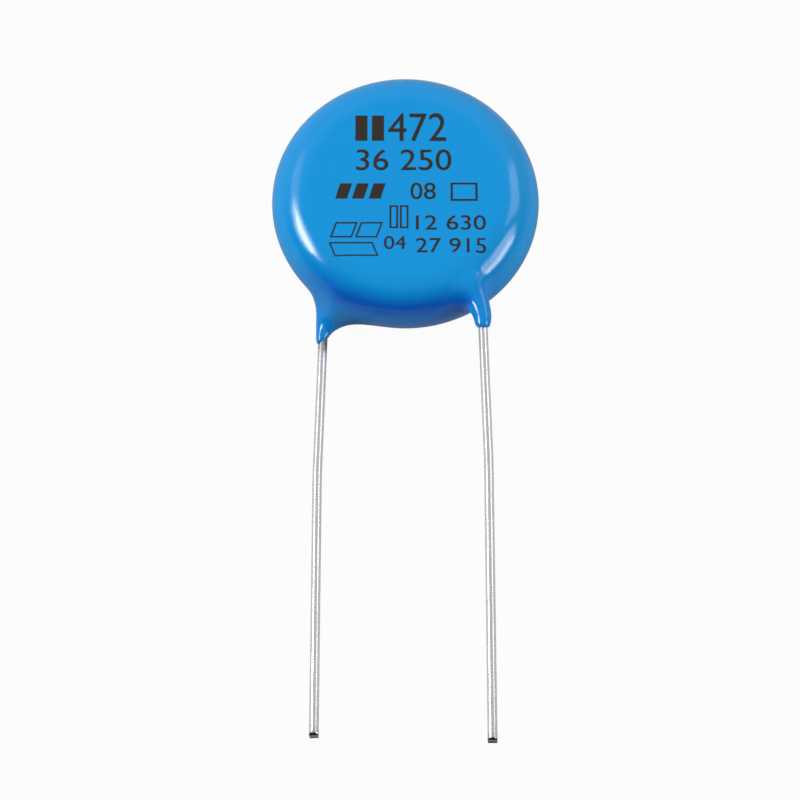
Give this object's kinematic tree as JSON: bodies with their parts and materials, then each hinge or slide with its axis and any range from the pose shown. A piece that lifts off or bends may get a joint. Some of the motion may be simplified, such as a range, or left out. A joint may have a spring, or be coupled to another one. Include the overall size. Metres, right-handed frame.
{
  "type": "ceramic disc capacitor",
  "caption": "Radial leaded ceramic disc capacitor in a glossy blue dipped coat, lying on the back of its coat with straight leads.",
  "frame": {"origin": "middle of the flat back face of the coat, in line with the axis of the disc", "axes": "+Z out of the marked face, which looks up, X across the two leads, and the leads point to -Y"},
  "size_m": [0.0162, 0.0418, 0.005],
  "materials": {
    "blue_epoxy": "glossy dipped coat",
    "ceramic": "fired, matt",
    "silver_layer": "fired silver, satin",
    "solder": "reflowed solder",
    "tinned_wire": "bright tinned"
  },
  "bodies": {
    "root": {"epoxy_coat": "blue_epoxy", "ceramic_disc": "ceramic", "front_electrode": "silver_layer", "rear_electrode": "silver_layer", "front_solder": "solder", "rear_solder": "solder", "front_lead": "tinned_wire", "rear_lead": "tinned_wire"}
  },
  "joints": []
}
